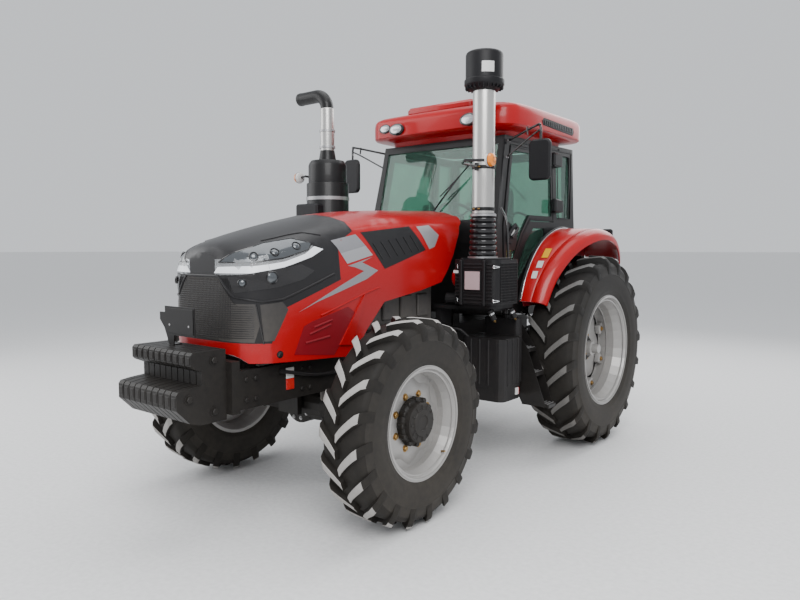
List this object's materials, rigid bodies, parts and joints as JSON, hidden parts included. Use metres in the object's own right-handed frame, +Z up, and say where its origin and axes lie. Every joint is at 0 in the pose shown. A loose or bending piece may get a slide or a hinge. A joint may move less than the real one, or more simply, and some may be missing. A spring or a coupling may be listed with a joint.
{
  "type": "four-wheel-drive farm tractor with cab",
  "caption": "Red four-wheel-drive farm tractor with a glazed cab, front weights and a rear three-point linkage.",
  "frame": {"origin": "on the ground, on the centre plane, halfway between the nose of the front weights and the ends of the lower links", "axes": "+Z up, front faces -Y, the tractor's left side is +X"},
  "size_m": [2.499, 4.876, 3.29],
  "materials": {
    "black_paint": "satin black paint",
    "cab_plastic": "dark grained moulding",
    "cast_black": "rough castings painted black",
    "engine_grey": "grey painted iron",
    "glass_green": "green-tinted safety glass",
    "lamp_amber": "amber lamp covers",
    "lamp_clear": "clear and white lamp covers",
    "nose_plastic": "satin charcoal moulding",
    "red_paint": "glossy red farm-machine paint",
    "rim_grey": "light grey paint, dusty",
    "rubber": "charcoal tyre rubber",
    "seat_cloth": "dark woven seat cloth",
    "steel": "brushed stainless steel"
  },
  "bodies": {
    "chassis": {"air_filter": "black_paint", "battery_box": "cab_plastic", "cab_frame": "black_paint", "console": "cab_plastic", "drawbar": "cast_black", "engine_block": "engine_grey", "exhaust_canister": "black_paint", "exhaust_stack": "black_paint", "fender_left": "red_paint", "fender_right": "red_paint", "front_axle": "cast_black", "front_frame": "cast_black", "front_weights": "cast_black", "fuel_tank": "cab_plastic", "gearbox": "cast_black", "intake_pipe": "steel", "lower_glass_left": "glass_green", "lower_glass_right": "glass_green", "mirror_left": "cab_plastic", "mirror_right": "cab_plastic", "plate_bracket": "black_paint", "precleaner": "cab_plastic", "quarter_glass_left": "glass_green", "quarter_glass_right": "glass_green", "rear_axle": "cast_black", "rear_window": "glass_green", "roof": "red_paint", "seat": "seat_cloth", "steps_left": "black_paint", "steps_right": "black_paint", "top_link": "cast_black", "turn_lamp_left": "lamp_amber", "turn_lamp_right": "lamp_amber", "windscreen": "glass_green"},
    "knuckle_left": {"knuckle_left": "cast_black"},
    "knuckle_right": {"knuckle_right": "cast_black"},
    "tie_rod": {"tie_rod": "cast_black"},
    "front_wheel_left": {"front_wheel_left": "rim_grey", "front_tyre_left": "rubber"},
    "front_wheel_right": {"front_wheel_right": "rim_grey", "front_tyre_right": "rubber"},
    "rear_wheel_left": {"rear_wheel_left": "rim_grey", "rear_tyre_left": "rubber"},
    "rear_wheel_right": {"rear_wheel_right": "rim_grey", "rear_tyre_right": "rubber"},
    "hood": {"hood": "red_paint", "hood_nose": "nose_plastic", "headlight_left": "lamp_clear", "headlight_right": "lamp_clear"},
    "door_left": {"door_left": "black_paint", "door_left_glass": "glass_green"},
    "door_right": {"door_right": "black_paint", "door_right_glass": "glass_green"},
    "steering_wheel": {"steering_wheel": "cab_plastic"},
    "lift_arms": {"lift_arms": "cast_black"},
    "lift_rod_left": {"lift_rod_left": "cast_black"},
    "lift_rod_right": {"lift_rod_right": "cast_black"},
    "lower_link_left": {"lower_link_left": "cast_black"},
    "lower_link_right": {"lower_link_right": "cast_black"}
  },
  "joints": [
    {"name": "steer_left", "type": "hinge", "parent": "chassis", "child": "knuckle_left", "pos_m": [0.78, -1.162, 0.66429], "axis": [0, 0, 1], "range_deg": [-30, 30]},
    {"name": "steer_right", "type": "hinge", "parent": "chassis", "child": "knuckle_right", "pos_m": [-0.78, -1.162, 0.66429], "axis": [0, 0, 1], "range_deg": [-30, 30]},
    {"name": "tie_rod_turn", "type": "hinge", "parent": "knuckle_left", "child": "tie_rod", "pos_m": [0.78, -0.922, 0.54929], "axis": [0, 0, 1], "range_deg": [-30, 30]},
    {"name": "front_wheel_spin_left", "type": "hinge", "parent": "knuckle_left", "child": "front_wheel_left", "pos_m": [0.9217, -1.162, 0.66429], "axis": [1, 0, 0], "continuous": true},
    {"name": "front_wheel_spin_right", "type": "hinge", "parent": "knuckle_right", "child": "front_wheel_right", "pos_m": [-0.9217, -1.162, 0.66429], "axis": [1, 0, 0], "continuous": true},
    {"name": "rear_wheel_spin_left", "type": "hinge", "parent": "chassis", "child": "rear_wheel_left", "pos_m": [1.0265, 1.388, 0.85088], "axis": [1, 0, 0], "continuous": true},
    {"name": "rear_wheel_spin_right", "type": "hinge", "parent": "chassis", "child": "rear_wheel_right", "pos_m": [-1.0265, 1.388, 0.85088], "axis": [1, 0, 0], "continuous": true},
    {"name": "hood_lift", "type": "hinge", "parent": "chassis", "child": "hood", "pos_m": [0, 0.168, 1.965], "axis": [-1, 0, 0], "range_deg": [0, 50]},
    {"name": "door_swing_left", "type": "hinge", "parent": "chassis", "child": "door_left", "pos_m": [0.72786, 1.32267, 2.25027], "axis": [-0.0373, 0.0015, 0.9993], "range_deg": [0, 75]},
    {"name": "door_swing_right", "type": "hinge", "parent": "chassis", "child": "door_right", "pos_m": [-0.72786, 1.32267, 2.25027], "axis": [-0.0373, -0.0015, -0.9993], "range_deg": [0, 75]},
    {"name": "steering_wheel_turn", "type": "hinge", "parent": "chassis", "child": "steering_wheel", "pos_m": [0, 0.798, 2.06], "axis": [0, 0.6157, 0.788], "continuous": true},
    {"name": "lift_arm_swing", "type": "hinge", "parent": "chassis", "child": "lift_arms", "pos_m": [0, 1.508, 1.16], "axis": [1, 0, 0], "range_deg": [-20, 25]},
    {"name": "lower_link_swing_left", "type": "hinge", "parent": "chassis", "child": "lower_link_left", "pos_m": [0.36, 1.508, 0.52], "axis": [1, 0, 0], "range_deg": [-20, 25]},
    {"name": "lower_link_swing_right", "type": "hinge", "parent": "chassis", "child": "lower_link_right", "pos_m": [-0.36, 1.508, 0.52], "axis": [1, 0, 0], "range_deg": [-20, 25]},
    {"name": "lift_rod_swing_left", "type": "hinge", "parent": "lift_arms", "child": "lift_rod_left", "pos_m": [0.3905, 1.868, 1.16], "axis": [1, 0, 0], "range_deg": [-25, 20]},
    {"name": "lift_rod_swing_right", "type": "hinge", "parent": "lift_arms", "child": "lift_rod_right", "pos_m": [-0.3905, 1.868, 1.16], "axis": [1, 0, 0], "range_deg": [-25, 20]}
  ],
  "couplings": [
    {"joint": "steer_right", "follows": "steer_left", "ratio": 1},
    {"joint": "tie_rod_turn", "follows": "steer_left", "ratio": -1},
    {"joint": "lower_link_swing_left", "follows": "lift_arm_swing", "ratio": 1},
    {"joint": "lower_link_swing_right", "follows": "lift_arm_swing", "ratio": 1},
    {"joint": "lift_rod_swing_left", "follows": "lift_arm_swing", "ratio": -1},
    {"joint": "lift_rod_swing_right", "follows": "lift_arm_swing", "ratio": -1}
  ]
}
